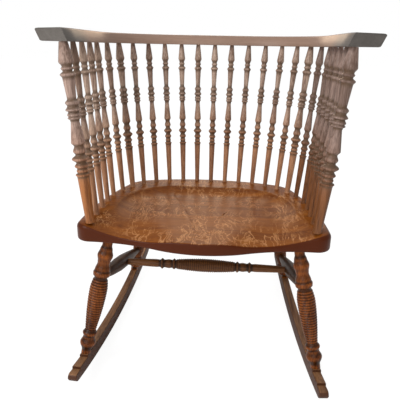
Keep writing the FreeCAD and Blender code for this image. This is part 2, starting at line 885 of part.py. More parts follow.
# Arm rail: one bent board. Each level is a horseshoe outline; upper levels lean outward,
# and the first and last levels are drawn in to round the edges.
def rail_level(index, height, shift, inset):
    half = size("top_half_width") + shift
    back = size("top_back_line") + shift
    corner = size("top_corner") + shift
    reach = size("rail_width") / 2 - inset
    outer_end = inset + size("outer_end_line")
    inner_end = inset - size("rail_front_line")

    def flare(start, end, radius):
        turn = math.asin((start - end) / radius)
        middle = turn / 2
        half_way = (radius * (1 - math.cos(middle)), start - radius * math.sin(middle))
        tip = (radius * (1 - math.cos(turn)), end)
        return half_way, tip

    outer_x = half + reach
    inner_x = half - reach
    outer_start = size("outer_flare_start")
    inner_start = size("inner_flare_start")
    outer_mid, outer_tip = flare(outer_start, outer_end, size("outer_flare_arc"))
    inner_mid, inner_tip = flare(inner_start, inner_end, size("inner_flare_arc"))

    def half_outline(hand):
        points = {}
        for name, edge_x, edge_back, radius in (
            ("outer", outer_x, back + reach, corner + reach),
            ("inner", inner_x, back - reach, corner - reach),
        ):
            bend = radius * (1 - math.sqrt(0.5))
            points[name] = (
                V(hand * (edge_x - radius), edge_back, 0),
                V(hand * (edge_x - bend), edge_back - bend, 0),
                V(hand * edge_x, edge_back - radius, 0),
            )
        return points

    right = half_outline(1)
    left = half_outline(-1)

    def flare_points(hand, edge_x, start, mid, tip):
        return (
            V(hand * edge_x, start, 0),
            V(hand * (edge_x + mid[0]), mid[1], 0),
            V(hand * (edge_x + tip[0]), tip[1], 0),
        )

    right_out = flare_points(1, outer_x, outer_start, outer_mid, outer_tip)
    left_out = flare_points(-1, outer_x, outer_start, outer_mid, outer_tip)
    right_in = flare_points(1, inner_x, inner_start, inner_mid, inner_tip)
    left_in = flare_points(-1, inner_x, inner_start, inner_mid, inner_tip)
    sketch = doc.addObject("Sketcher::SketchObject", f"rail_level_{index}")
    drawn(
        sketch,
        [
            Part.LineSegment(right["outer"][0], left["outer"][0]),
            Part.Arc(left["outer"][0], left["outer"][1], left["outer"][2]),
            Part.LineSegment(left["outer"][2], left_out[0]),
            Part.Arc(left_out[0], left_out[1], left_out[2]),
            Part.LineSegment(left_out[2], left_in[2]),
            Part.Arc(left_in[2], left_in[1], left_in[0]),
            Part.LineSegment(left_in[0], left["inner"][2]),
            Part.Arc(left["inner"][2], left["inner"][1], left["inner"][0]),
            Part.LineSegment(left["inner"][0], right["inner"][0]),
            Part.Arc(right["inner"][0], right["inner"][1], right["inner"][2]),
            Part.LineSegment(right["inner"][2], right_in[0]),
            Part.Arc(right_in[0], right_in[1], right_in[2]),
            Part.LineSegment(right_in[2], right_out[2]),
            Part.Arc(right_out[2], right_out[1], right_out[0]),
            Part.LineSegment(right_out[0], right["outer"][2]),
            Part.Arc(right["outer"][2], right["outer"][1], right["outer"][0]),
        ],
    )
    sketch.Placement = FreeCAD.Placement(V(0, 0, height), FreeCAD.Rotation())
    return sketch


round_over = size("rail_edge_round")
thick = size("rail_thick")
RAIL_LEVELS = (
    (0.0, round_over / 2),
    (round_over / 2, 0.0),
    (thick - round_over, 0.0),
    (thick - round_over / 3, round_over / 3),
    (thick, round_over),
)
levels = []
for index, (rise, inset) in enumerate(RAIL_LEVELS):
    shift = size("rail_lean") * rise / thick
    levels.append(rail_level(index, size("rail_height") + rise, shift, inset))
rail = doc.addObject("Part::Loft", "arm_rail_board")
rail.Sections = levels
rail.Solid = True
rail.Ruled = True
doc.recompute()
rail.Placement = seat_frame
bored(rail, rail_drills, "arm_rail")
doc.recompute()

# Every object has to be in order before its STEP file is written.
for item in doc.Objects:
    if "Invalid" in item.State or "Error" in item.State:
        raise RuntimeError(f"{item.Label} is not in order: {item.State}")
os.makedirs("parts", exist_ok=True)
for piece in pieces:
    if piece.Shape.isNull() or not piece.Shape.isValid():
        raise RuntimeError(f"{piece.Label} has no valid shape")
    piece.Shape.exportStep(f"parts/{piece.Label}.step")
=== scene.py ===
import math

import bmesh
import bpy
from mathutils import Matrix, Vector


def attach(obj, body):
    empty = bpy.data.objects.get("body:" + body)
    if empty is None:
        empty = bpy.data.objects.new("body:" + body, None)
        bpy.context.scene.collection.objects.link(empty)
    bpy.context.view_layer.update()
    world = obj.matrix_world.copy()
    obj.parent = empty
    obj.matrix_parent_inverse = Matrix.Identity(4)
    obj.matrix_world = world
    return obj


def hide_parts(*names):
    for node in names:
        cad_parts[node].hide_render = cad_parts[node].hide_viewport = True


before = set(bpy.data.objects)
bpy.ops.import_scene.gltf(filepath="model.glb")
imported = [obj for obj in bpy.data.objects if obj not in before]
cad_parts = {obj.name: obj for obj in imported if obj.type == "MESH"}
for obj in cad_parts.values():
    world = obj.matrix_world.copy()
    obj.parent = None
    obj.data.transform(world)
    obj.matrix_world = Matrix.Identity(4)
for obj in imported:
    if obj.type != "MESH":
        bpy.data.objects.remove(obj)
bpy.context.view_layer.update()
scene = bpy.context.scene
scene.view_settings.view_transform = "Standard"

# The two rockers: sawn oak boards, rubbed matt on top where feet rest, their sides painted
# darker as shade, with two ledges cut down towards the rounded nose. They toe in towards the
# back, and all sizes are in millimetres. Stations run along a rocker from its lowest point,
# less than zero in front.
MM = 0.001
HANDS = {"left": -1, "right": 1}
ROCKER_RADIUS = 1420.0
ROCKER_HEIGHT = 34.0
ROCKER_THICK = 21.0
ROCKER_REACH = 317.0
ROCKER_TOE_IN = math.radians(5.0)
ROCKER_MIDDLE = 257.5
LEDGE_STATIONS = (-290.0, -247.0)
LEDGE_DROP = 6.0
LEDGE_RUN_UP = 14.0
LEDGE_SLANT = 0.5
NOSE_ROUND = 11.0
TAIL_ROUND = 15.0
END_STEPS = 6
LONG_STEPS = 40
THINNEST_HALF = 0.3
EASED_EDGE = 2.2
EASED_SHARE = 0.9
EASED_STEPS = 4
CRISP_EDGE = math.radians(38)
VARNISH_IOR = 1.5
COAT_ROUGHNESS = 0.25
FIGURE_PER_STREAK = 9
STREAK_SPREAD = 0.28
RELIEF_MM = 0.3
RELIEF_STRENGTH = 0.12


def linear(hex_colour):
    """A colour written as sRGB hex, as the linear values that a shader takes."""
    shares = [int(hex_colour[start : start + 2], 16) / 255 for start in (0, 2, 4)]
    return [c / 12.92 if c <= 0.04045 else ((c + 0.055) / 1.055) ** 2.4 for c in shares] + [1.0]


def add_node(tree, kind, settings=None, links=None):
    """A node with its settings, and each named or numbered input set or linked."""
    node = tree.nodes.new(kind)
    for name, value in (settings or {}).items():
        setattr(node, name, value)
    for socket, value in (links or {}).items():
        if isinstance(value, bpy.types.NodeSocket):
            tree.links.new(value, node.inputs[socket])
        else:
            node.inputs[socket].default_value = value
    return node


def blended(tree, share, first, second):
    """The first colour where share is 0, and the second where it is 1."""
    mix = add_node(tree, "ShaderNodeMix", {"data_type": "RGBA"}, {0: share, 6: first, 7: second})
    return mix.outputs[2]


def upward_share(tree, lowest, highest):
    """0 on faces that look less far up than the lowest share, and 1 past the highest."""
    facing = add_node(tree, "ShaderNodeNewGeometry").outputs["Normal"]
    upward = add_node(tree, "ShaderNodeSeparateXYZ", None, {0: facing}).outputs["Z"]
    level = add_node(tree, "ShaderNodeMapRange", None,
                     {"Value": upward, "From Min": lowest, "From Max": highest})
    return level.outputs[0]


def varnished_oak(name, light, dark, streak_mm, roughness, grain=None, grime_and_shade="1d0f08",
                  fade=None, sides=None, coat=0.0, shine=0.2, contrast=1.0):
    """Oak under old varnish: open grain in streaks, soiling and painted shade in the grooves.

    streak_mm is the size of a streak along each axis. Real pores are a third of a millimetre
    wide and are drawn coarser, so that they show. grain names the attribute that holds the
    coordinates of a bent board. fade is an axis, two places on it in metres, and the light
    and dark colours past the second. sides is the colour of faces that don't look up.
    """
    material = bpy.data.materials.new(name)
    material.use_nodes = True
    tree = material.node_tree
    shader = tree.nodes["Principled BSDF"]
    around = add_node(tree, "ShaderNodeTexCoord").outputs["Object"]
    place = around
    if grain:
        place = add_node(tree, "ShaderNodeAttribute", {"attribute_name": grain}).outputs["Vector"]
    streaks_per_metre = [1 / (size * MM) for size in streak_mm]
    figure_per_metre = [share / FIGURE_PER_STREAK for share in streaks_per_metre]
    fine = add_node(tree, "ShaderNodeMapping", None, {"Vector": place, "Scale": streaks_per_metre})
    broad = add_node(tree, "ShaderNodeMapping", None, {"Vector": place, "Scale": figure_per_metre})
    pores = add_node(tree, "ShaderNodeTexNoise", None,
                     {"Vector": fine.outputs[0], "Scale": 1.0, "Detail": 3.0, "Roughness": 0.6})
    figure = add_node(tree, "ShaderNodeTexNoise", None,
                      {"Vector": broad.outputs[0], "Scale": 1.0, "Detail": 2.0, "Distortion": 0.6})
    both = add_node(tree, "ShaderNodeMath", {"operation": "ADD"},
                    {0: pores.outputs["Fac"], 1: figure.outputs["Fac"]})
    spread = add_node(tree, "ShaderNodeMapRange", None,
                      {"Value": both.outputs[0], "From Min": 1.0 - STREAK_SPREAD / contrast,
                       "From Max": 1.0 + STREAK_SPREAD / contrast})
    wood = blended(tree, spread.outputs[0], linear(dark), linear(light))
    if fade:
        axis, begins, ends, far_light, far_dark = fade
        spot = add_node(tree, "ShaderNodeSeparateXYZ", None, {0: around})
        past = add_node(tree, "ShaderNodeMapRange", {"interpolation_type": "SMOOTHSTEP"},
                        {"Value": spot.outputs[axis], "From Min": begins, "From Max": ends})
        far_wood = blended(tree, spread.outputs[0], linear(far_dark), linear(far_light))
        wood = blended(tree, past.outputs[0], wood, far_wood)
    # Faces that don't look up take the sides colour, a painted shade.
    if sides:
        wood = blended(tree, upward_share(tree, 0.7, 0.92), linear(sides), wood)
    # The groove attribute darkens the grooves: soiling and painted shade together.
    soiling_and_shade = add_node(tree, "ShaderNodeAttribute", {"attribute_name": "groove"})
    soiled_and_shaded = blended(tree, soiling_and_shade.outputs["Fac"], wood, linear(grime_and_shade))
    relief = add_node(tree, "ShaderNodeBump", None,
                      {"Height": both.outputs[0], "Strength": RELIEF_STRENGTH,
                       "Distance": RELIEF_MM * MM})
    tree.links.new(soiled_and_shaded, shader.inputs["Base Color"])
    tree.links.new(relief.outputs[0], shader.inputs["Normal"])
    shader.inputs["Roughness"].default_value = roughness
    shader.inputs["IOR"].default_value = VARNISH_IOR
    shader.inputs["Specular IOR Level"].default_value = shine
    shader.inputs["Coat Weight"].default_value = coat
    shader.inputs["Coat Roughness"].default_value = COAT_ROUGHNESS
    return material


def swept(name, loops, material, grain=None):
    """A piece skinned over loops of points in metres, flat at both ends."""
    mesh = bpy.data.meshes.new(name)
    count = len(loops[0])
    points = [point for loop in loops for point in loop]
    faces = [list(range(count))]
    for row in range(len(loops) - 1):
        for index in range(count):
            following = (index + 1) % count
            first = row * count
            faces.append([first + index, first + count + index,
                          first + count + following, first + following])
    faces.append([len(points) - count + index for index in range(count)])
    mesh.from_pydata(points, [], faces)
    if grain:
        follow = mesh.attributes.new("grain", "FLOAT_VECTOR", "POINT")
        follow.data.foreach_set("vector", [value for spot in grain for value in spot])
    return finished(name, mesh, material)


def finished(name, mesh, material):
    """An object of the mesh, faces outward, smooth but for its crisp edges."""
    work = bmesh.new()
    work.from_mesh(mesh)
    bmesh.ops.recalc_face_normals(work, faces=work.faces)
    work.to_mesh(mesh)
    work.free()
    for face in mesh.polygons:
        face.use_smooth = True
    mesh.set_sharp_from_angle(angle=CRISP_EDGE)
    mesh.materials.clear()
    mesh.materials.append(material)
    piece = bpy.data.objects.new(name, mesh)
    scene.collection.objects.link(piece)
    return piece


def under_edge(station):
    return ROCKER_RADIUS - math.sqrt(ROCKER_RADIUS**2 - station**2)


def top_edge(station, drop=0.0):
    inner = ROCKER_RADIUS - ROCKER_HEIGHT + drop
    return ROCKER_RADIUS - math.sqrt(inner**2 - station**2)


def on_rocker(hand, across, station, height):
    """A point of a rocker's own frame, in metres in the chair's frame."""
    turn = Matrix.Rotation(hand * ROCKER_TOE_IN, 3, "Z")
    point = turn @ Vector((across, station, height)) + Vector((hand * ROCKER_MIDDLE, 0, 0))
    return point * MM


def rocker_stations():
    """From nose to tail: the station, the share of full height and the ledges cut down."""
    stations = []
    for step in range(END_STEPS):
        turn = math.pi / 2 * step / END_STEPS
        stations.append((-ROCKER_REACH + NOSE_ROUND * (1 - math.cos(turn)), math.sin(turn), 2))
    for ledges, station in zip((2, 1), LEDGE_STATIONS):
        stations.append((station - LEDGE_RUN_UP, 1.0, ledges))
        stations.append((station - LEDGE_SLANT, 1.0, ledges))
        stations.append((station + LEDGE_SLANT, 1.0, ledges - 1))
    last_ledge = LEDGE_STATIONS[-1]
    long_run = ROCKER_REACH - TAIL_ROUND - last_ledge
    for step in range(1, LONG_STEPS + 1):
        stations.append((last_ledge + long_run * step / LONG_STEPS, 1.0, 0))
    for step in range(END_STEPS - 1, -1, -1):
        turn = math.pi / 2 * step / END_STEPS
        stations.append((ROCKER_REACH - TAIL_ROUND * (1 - math.cos(turn)), math.sin(turn), 0))
    return stations


def rocker_loop(hand, station, opened, ledges):
    """Points round the board at one station, with its four long edges eased."""
    low = under_edge(station)
    high = top_edge(station, ledges * LEDGE_DROP)
    middle = (low + high) / 2
    half_height = max((high - low) / 2 * opened, THINNEST_HALF)
    ease = min(EASED_EDGE, half_height * EASED_SHARE)
    out_x = ROCKER_THICK / 2 - ease
    out_z = half_height - ease
    loop = []
    for corner, (sign_x, sign_z) in enumerate(((1, 1), (-1, 1), (-1, -1), (1, -1))):
        for step in range(EASED_STEPS):
            turn = math.pi / 2 * (corner + step / (EASED_STEPS - 1))
            across = sign_x * out_x + ease * math.cos(turn)
            rise = middle + sign_z * out_z + ease * math.sin(turn)
            loop.append(on_rocker(hand, across, station, rise))
    return loop


# Rubbed varnish: pale brown on top, with dark, plain sides that are painted shade.
rocker_oak = varnished_oak("Oak rocker, rubbed varnish", "876142", "4e301b", (3.0, 60.0, 3.0),
                           roughness=0.5, sides="452715")
for side, hand in HANDS.items():
    loops = [rocker_loop(hand, *station) for station in rocker_stations()]
    rocker = swept(f"rocker_{side}_board", loops, rocker_oak)
    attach(rocker, "root")
    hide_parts(f"rocker_{side}")

# The four legs: turned in one pattern from round tenon to round tenon, with a foot, a vase,
# a ball, a barrel of fine reeds, a ring and a bulb. An outline holds shares of the length,
# from the rocker up, and radii. A leg stands at a place under the seat and at a station.
SEAT_TILT = math.radians(5.0)
SEAT_PLACE = Vector((0, -197.0, 392.0))
SEAT_THICK = 41.0
LEG_STANCE = {"front": (217.0, 38.0, -233.0), "rear": (175.0, 317.0, 171.0)}
LEG_SINK = 2.2
LEG_OUTLINE_LOW = [
    (0.0, 11.4), (0.03, 11.6), (0.095, 18.8), (0.143, 14.2), (0.15, 14.0), (0.178, 17.2),
    (0.207, 13.2),
]
LEG_OUTLINE_HIGH = [
    (0.648, 15.2), (0.664, 19.6), (0.683, 20.4), (0.705, 18.2), (0.76, 14.6), (0.775, 15.2),
    (0.825, 18.4), (0.872, 14.6), (0.905, 11.8), (1.0, 11.0),
]
LEG_BARREL = ((0.213, 13.4), (0.54, 21.4), (0.632, 17.4))
LEG_REEDS = 20
LEG_REED_DEPTH = 1.7
LEG_FACETS = 40
NEAR_MM = 26.0
NEAR_END_MM = 6.0
ROUNDING_STEPS = 5
REED_STEPS = 6
GROOVE_WINDOW_MM = 5.0
GROOVE_FULL_MM = 2.0
GROOVE_MOST = 0.8
GROOVE_POWER = 1.2


def seat_point(across, back, height):
    """A point of the seat's own frame, in metres in the chair's frame."""
    lean = Matrix.Rotation(-SEAT_TILT, 3, "X")
    return (lean @ Vector((across, back, height)) + SEAT_PLACE) * MM


def rounded_turning(stops, length):
    """Stations and radii between the stops: rounded where they are near, else straight."""
    stations = [stops[0]]
    for (first, start), (last, end) in zip(stops, stops[1:]):
        span = (last - first) * length
        if span < NEAR_MM:
            for step in range(1, ROUNDING_STEPS):
                share = step / ROUNDING_STEPS
                ease = (1 - math.cos(math.pi * share)) / 2
                stations.append((first + (last - first) * share, start + (end - start) * ease))
        else:
            for share in (NEAR_END_MM / span, 1 - NEAR_END_MM / span):
                stations.append((first + (last - first) * share, start + (end - start) * share))
        stations.append((last, end))
    return stations


def barrel_radius(barrel, share):
    (first, low), (full, top), (last, high) = barrel
    if share <= full:
        return low + (top - low) * math.sin((share - first) / (full - first) * math.pi / 2)
    return high + (top - high) * math.cos((share - full) / (last - full) * math.pi / 2)


def reeded(barrel, count, depth):
    """Stations and radii of round reeds side by side on a swelling barrel."""
    first = barrel[0][0]
    last = barrel[-1][0]
    stations = []
    for step in range(count * REED_STEPS + 1):
        share = first + (last - first) * step / (count * REED_STEPS)
        crest = math.sin(math.pi * (step % REED_STEPS) / REED_STEPS)
        stations.append((share, barrel_radius(barrel, share) - depth * (1 - crest)))
    return stations


def groove_shade(stations, length):
    """Soiling and painted shade per station: most where the radius is far below its crests."""
    shades = []
    for share, radius in stations:
        near = [other for place, other in stations
                if abs(place - share) * length < GROOVE_WINDOW_MM]
        depth_share = max(0.0, (max(near) - radius) / GROOVE_FULL_MM)
        shades.append(min(GROOVE_MOST, depth_share**GROOVE_POWER))
    return shades


def turning_tree():
    """Geometry Nodes that turn a round piece on every axis line of a mesh.

    Each line carries its radius and its groove shade from point to point.
    """
    tree = bpy.data.node_groups.new("Turned on a lathe", "GeometryNodeTree")
    for name, kind, way in (
        ("Axis lines", "NodeSocketGeometry", "INPUT"),
        ("Facets round", "NodeSocketInt", "INPUT"),
        ("Girth", "NodeSocketFloat", "INPUT"),
        ("Wood", "NodeSocketMaterial", "INPUT"),
        ("Turned pieces", "NodeSocketGeometry", "OUTPUT"),
    ):
        tree.interface.new_socket(name, in_out=way, socket_type=kind)
    given = add_node(tree, "NodeGroupInput")
    radius = add_node(tree, "GeometryNodeInputNamedAttribute", {"data_type": "FLOAT"},
                      {"Name": "radius_here"})
    scaled = add_node(tree, "ShaderNodeMath", {"operation": "MULTIPLY"},
                      {0: radius.outputs[0], 1: given.outputs["Girth"]})
    lines = add_node(tree, "GeometryNodeMeshToCurve", None, {"Mesh": given.outputs["Axis lines"]})
    ring = add_node(tree, "GeometryNodeCurvePrimitiveCircle", {"mode": "RADIUS"},
                    {"Resolution": given.outputs["Facets round"], "Radius": 1.0})
    skin = add_node(tree, "GeometryNodeCurveToMesh", None,
                    {"Curve": lines.outputs[0], "Profile Curve": ring.outputs[0],
                     "Scale": scaled.outputs[0], "Fill Caps": True})
    smooth = add_node(tree, "GeometryNodeSetShadeSmooth", None, {"Geometry": skin.outputs[0]})
    real = add_node(tree, "GeometryNodeRealizeInstances", None, {"Geometry": smooth.outputs[0]})
    wood = add_node(tree, "GeometryNodeSetMaterial", None,
                    {"Geometry": real.outputs[0], "Material": given.outputs["Wood"]})
    add_node(tree, "NodeGroupOutput", None, {0: wood.outputs[0]})
    return tree


turning = turning_tree()


def turned(name, axes, outline, material, facets, girth=1.0):
    """One piece made of everything turned to the same outline on the given axes."""
    points = []
    edges = []
    radii = []
    shades = []
    for start, end in axes:
        stations = outline((end - start).length / MM)
        soiling_and_shade = groove_shade(stations, (end - start).length / MM)
        base = len(points)
        for index, (share, radius) in enumerate(stations):
            points.append(start.lerp(end, share))
            radii.append(radius * MM)
            shades.append(soiling_and_shade[index])
            if index:
                edges.append((base + index - 1, base + index))
    mesh = bpy.data.meshes.new(name)
    mesh.from_pydata(points, edges, [])
    mesh.attributes.new("radius_here", "FLOAT", "POINT").data.foreach_set("value", radii)
    mesh.attributes.new("groove", "FLOAT", "POINT").data.foreach_set("value", shades)
    blank = bpy.data.objects.new(name + "_blank", mesh)
    scene.collection.objects.link(blank)
    lathe = blank.modifiers.new("Lathe", "NODES")
    lathe.node_group = turning
    settings = {"Facets round": facets, "Girth": girth, "Wood": material}
    for socket in turning.interface.items_tree:
        if socket.name in settings:
            lathe[socket.identifier] = settings[socket.name]
    view = bpy.context.evaluated_depsgraph_get()
    view.update()
    made = bpy.data.meshes.new_from_object(blank.evaluated_get(view))
    bpy.data.objects.remove(blank)
    made.name = name
    return finished(name, made, material)


def leg_axis(which, hand):
    across, back, station = LEG_STANCE[which]
    foot = on_rocker(hand, 0, station, top_edge(station))
    head = seat_point(hand * across, back, -SEAT_THICK)
    return foot - (head - foot).normalized() * LEG_SINK * MM, head


def leg_outline(length):
    low = rounded_turning(LEG_OUTLINE_LOW, length)
    high = rounded_turning(LEG_OUTLINE_HIGH, length)
    return low + reeded(LEG_BARREL, LEG_REEDS, LEG_REED_DEPTH) + high


# Glossy varnish, the least worn: warm red-brown crests over nearly black grooves, their
# soiling and painted shade.
leg_oak = varnished_oak("Oak leg, glossy varnish", "8e4d1c", "3a1604", (2.6, 2.6, 40.0),
                        roughness=0.34, grime_and_shade="140904", coat=0.05, shine=0.12)
for which in LEG_STANCE:
    for side, hand in HANDS.items():
        leg = turned(f"{which}_leg_{side}_turning", [leg_axis(which, hand)], leg_outline,
                     leg_oak, LEG_FACETS)
        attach(leg, "root")
        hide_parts(f"{which}_leg_{side}")

# The side stretchers: plain spindles that swell to the middle, from front leg to rear leg.
# They are let into round holes bored in the legs, at these shares of a leg's length.
SIDE_JOINTS = {"front": 0.64, "rear": 0.30}
SIDE_INSET = 3.0
STRETCHER_FACETS = 32
SIDE_OUTLINE = [(0.0, 8.5), (0.07, 8.9), (0.2, 14.0), (0.38, 18.4), (0.52, 18.4), (0.72, 14.4),
                (0.93, 8.9), (1.0, 8.5)]


def side_joint(which, hand):
    foot, head = leg_axis(which, hand)
    return foot.lerp(head, SIDE_JOINTS[which])


def side_outline(length):
    return rounded_turning(SIDE_OUTLINE, length)


# Old varnish that light and hands hardly reach: a dark, dull brown, painted darker as the
# shade under the seat.
under_oak = varnished_oak("Oak stretcher, dark varnish with painted shade", "482b12", "261205", (2.4, 60.0, 2.4),
                          roughness=0.45, shine=0.1)
for side, hand in HANDS.items():
    front = side_joint("front", hand)
    rear = side_joint("rear", hand)
    inset = (rear - front).normalized() * SIDE_INSET * MM
    stretcher = turned(f"side_stretcher_{side}_turning", [(front + inset, rear - inset)],
                       side_outline, under_oak, STRETCHER_FACETS)
    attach(stretcher, "root")
    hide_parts(f"side_stretcher_{side}")

# The cross stretcher: slim ends, two rings each side of a long swelling cut into fine
# reeds. It joins the middles of the side stretchers.
CROSS_INSET = 3.0
CROSS_ENDS = [(0.0, 8.5), (0.03, 8.9), (0.2, 10.9), (0.226, 10.2), (0.239, 14.6), (0.252, 10.6),
              (0.28, 12.2), (0.298, 11.0), (0.311, 14.8), (0.323, 11.4), (0.331, 13.8)]
CROSS_BARREL = ((0.335, 14.2), (0.5, 18.2), (0.665, 14.2))
CROSS_REEDS = 26
CROSS_REED_DEPTH = 1.3


def cross_outline(length):
    left = rounded_turning(CROSS_ENDS, length)
    right = [(1 - share, radius) for share, radius in reversed(left)]
    return left + reeded(CROSS_BARREL, CROSS_REEDS, CROSS_REED_DEPTH) + right


# The same dark varnish, painted a little lighter as the light where it faces the room.
cross_oak = varnished_oak("Oak cross stretcher, dark varnish with painted light", "774b26", "442611",
                          (60.0, 2.4, 2.4), roughness=0.45)
cross_ends = []
for hand in HANDS.values():
    middle = side_joint("front", hand).lerp(side_joint("rear", hand), 0.5)
    cross_ends.append(middle - Vector((hand * CROSS_INSET * MM, 0, 0)))
cross = turned("cross_stretcher_turning", [tuple(cross_ends)], cross_outline, cross_oak,
               STRETCHER_FACETS)
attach(cross, "root")
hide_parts("cross_stretcher")

# The seat: one thick oak board, bowed forward in front, with a saddle carved in its top.
# The floor of the carving rolls down to the front edge in two scoops for the thighs. Places
# are across and back on the board, and heights are over its deck.
SEAT_HALF = 282.0
SEAT_SIDE_ARC = 900.0
SEAT_WIDEST = 20.0
SEAT_BACK = 391.0
SEAT_BACK_ARC = 570.0
SEAT_FRONT = -20.0
SEAT_BOW = -64.0
BOW_ARC = 275.0
BOW_HOLLOW_ARC = 385.0
FRONT_CORNER = 30.0
REAR_CORNER = 34.0
TOP_ROUND = 12.0
BOTTOM_ROUND = 6.0
EASED_LIP = 4.0
HOLLOW_HALF = 220.0
HOLLOW_BACK = 304.0
HOLLOW_CORNER = 150.0
HOLLOW_DEPTH = 15.0
HOLLOW_WALL = 70.0
THIGH_ACROSS = 150.0
THIGH_DROP = 14.0
THIGH_START = 65.0
THIGH_FRONT = -45.0
THIGH_ROUND = 260.0
THIGH_LIMIT = 0.98
BLEND = 3.0
BLEND_REACH = 30.0
SEAT_MIDDLE = Vector((0.0, 160.0))
SEAT_RINGS = 80
CORNER_PULL = 0.55
CORNER_STEPS = 10
BACK_STEPS = 24
SIDE_STEPS = 30
BOW_STEPS = 12
BOTTOM_STEPS = 4
TOP_STEPS = 10


def side_at(back):
    return SEAT_HALF - SEAT_SIDE_ARC + math.sqrt(SEAT_SIDE_ARC**2 - (back - SEAT_WIDEST) ** 2)


def back_at(across):
    return SEAT_BACK - SEAT_BACK_ARC + math.sqrt(SEAT_BACK_ARC**2 - across**2)


def trimmed(edge, length, at_end):
    """The run of points with that much of its length taken off one end."""
    points = list(reversed(edge)) if at_end else list(edge)
    while (points[1] - points[0]).length < length:
        length -= (points[1] - points[0]).length
        points.pop(0)
    points[0] = points[0].lerp(points[1], length / (points[1] - points[0]).length)
    return list(reversed(points)) if at_end else points


def cornered(first, second, radius):
    """Two runs of points with the corner between them rounded."""
    first = trimmed(first, radius, True)
    second = trimmed(second, radius, False)
    leave = (first[-1] - first[-2]).normalized() * radius * CORNER_PULL
    enter = (second[0] - second[1]).normalized() * radius * CORNER_PULL
    start = first[-1]
    end = second[0]
    bend = []
    for step in range(1, CORNER_STEPS):
        t = step / CORNER_STEPS
        bend.append(start * (1 - t) ** 3 + (start + leave) * 3 * t * (1 - t) ** 2
                    + (end + enter) * 3 * t * t * (1 - t) + end * t**3)
    return first + bend + second


def seat_outline():
    """The edge of the seat board from above, from the middle of the back round."""
    rear = SEAT_BACK
    rounds_to_settle = 60
    for _ in range(rounds_to_settle):
        rear = back_at(side_at(rear))
    widest = side_at(rear)
    back_edge = []
    for step in range(BACK_STEPS + 1):
        across = widest * step / BACK_STEPS
        back_edge.append(Vector((across, back_at(across))))
    side_edge = []
    for step in range(SIDE_STEPS + 1):
        back = rear + (SEAT_FRONT - rear) * step / SIDE_STEPS
        side_edge.append(Vector((side_at(back), back)))
    both_arcs = BOW_ARC + BOW_HOLLOW_ARC
    sweep = math.acos(1 - (SEAT_FRONT - SEAT_BOW) / both_arcs)
    hollow_start = both_arcs * math.sin(sweep)
    front_edge = [side_edge[-1].copy(), Vector((hollow_start + 2, SEAT_FRONT))]
    for step in range(BOW_STEPS + 1):
        turn = sweep * step / BOW_STEPS
        front_edge.append(Vector((hollow_start - BOW_HOLLOW_ARC * math.sin(turn),
                                  SEAT_FRONT - BOW_HOLLOW_ARC * (1 - math.cos(turn)))))
    for step in range(BOW_STEPS - 1, -1, -1):
        turn = sweep * step / BOW_STEPS
        front_edge.append(Vector((BOW_ARC * math.sin(turn),
                                  SEAT_BOW + BOW_ARC * (1 - math.cos(turn)))))
    half = cornered(cornered(back_edge, side_edge, REAR_CORNER), front_edge, FRONT_CORNER)
    mirrored = [Vector((-point.x, point.y)) for point in reversed(half[1:-1])]
    return half + mirrored


def seat_height(across, back):
    """Height of the seat's top over its deck."""
    span = HOLLOW_HALF - HOLLOW_CORNER
    deep = HOLLOW_BACK - HOLLOW_CORNER
    out_x = abs(across) - span
    out_y = back - deep
    if out_x > 0 and out_y > 0:
        inward = HOLLOW_CORNER - math.hypot(out_x, out_y)
    else:
        inward = min(HOLLOW_HALF - abs(across), HOLLOW_BACK - back)
    share = min(max(inward / HOLLOW_WALL, 0.0), 1.0)
    hollow = -HOLLOW_DEPTH * (1 - (1 - share) ** 3)
    slope = THIGH_DROP / (THIGH_START - THIGH_FRONT)
    off = min(abs(abs(across) - THIGH_ACROSS), THIGH_ROUND * THIGH_LIMIT)
    scoop = (-HOLLOW_DEPTH - slope * (THIGH_START - back) + THIGH_ROUND
             - math.sqrt(THIGH_ROUND**2 - off**2))
    gap = hollow - scoop
    if gap <= -BLEND_REACH:
        return hollow
    return (hollow + scoop - math.sqrt(gap**2 + BLEND**2) + BLEND) / 2


def round_drop(inset, radius):
    """How far a quarter-round edge lies under the top, at an inset from the edge line."""
    return radius - math.sqrt(radius**2 - max(radius - inset, 0.0) ** 2)


